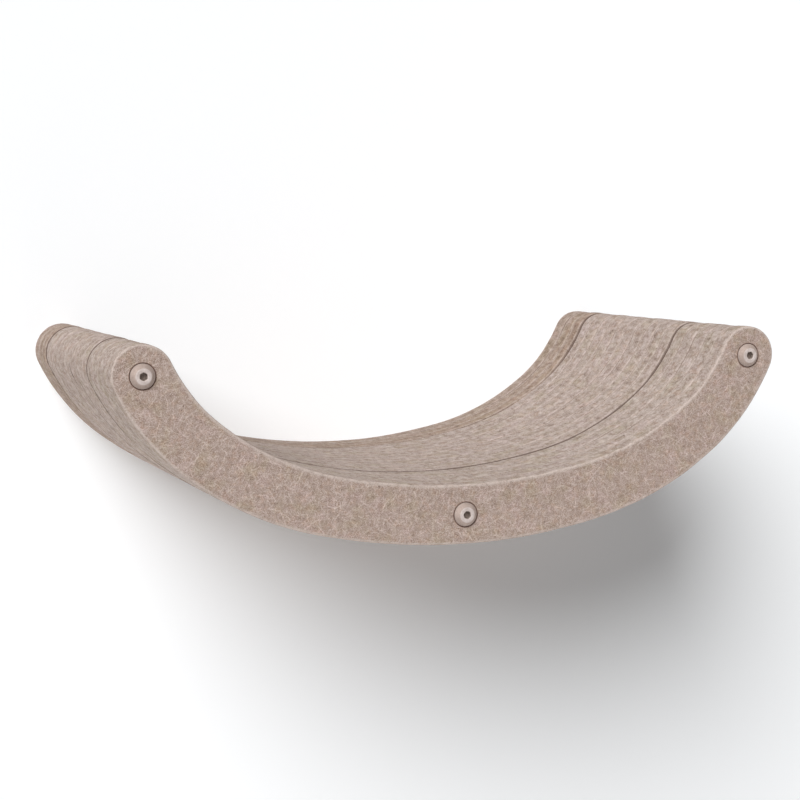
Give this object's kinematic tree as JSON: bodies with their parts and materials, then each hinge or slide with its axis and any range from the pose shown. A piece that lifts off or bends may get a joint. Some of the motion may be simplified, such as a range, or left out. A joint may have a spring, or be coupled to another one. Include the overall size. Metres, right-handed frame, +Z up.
{
  "type": "wall mounted cat shelf",
  "caption": "Crescent-shaped lying shelf of stacked felt layers, clamped on rods that stand out of a hidden wall bracket.",
  "frame": {"origin": "middle of the lower pair of wall screws, on the wall's surface", "axes": "+X along the wall to the right, +Y into the wall, +Z up"},
  "size_m": [0.5002, 0.2858, 0.1474],
  "materials": {
    "felt": "pressed heather felt, matt",
    "bracket_steel": "powder coated, satin",
    "zinc_steel": "zinc plated",
    "cap_paint": "beige paint, satin"
  },
  "bodies": {
    "root": {"felt_layer_01": "felt", "felt_layer_02": "felt", "felt_layer_03": "felt", "felt_layer_04": "felt", "felt_layer_05": "felt", "felt_layer_06": "felt", "felt_layer_07": "felt", "felt_layer_08": "felt", "felt_layer_09": "felt", "felt_layer_10": "felt", "felt_layer_11": "felt", "felt_layer_12": "felt", "felt_layer_13": "felt", "felt_layer_14": "felt", "felt_layer_15": "felt", "felt_layer_16": "felt", "felt_layer_17": "felt", "felt_layer_18": "felt", "wall_bracket": "bracket_steel", "threaded_rod_left": "zinc_steel", "washer_left": "zinc_steel", "lock_nut_left": "zinc_steel", "cap_nut_left": "cap_paint", "threaded_rod_middle": "zinc_steel", "washer_middle": "zinc_steel", "lock_nut_middle": "zinc_steel", "cap_nut_middle": "cap_paint", "threaded_rod_right": "zinc_steel", "washer_right": "zinc_steel", "lock_nut_right": "zinc_steel", "cap_nut_right": "cap_paint"}
  },
  "joints": []
}
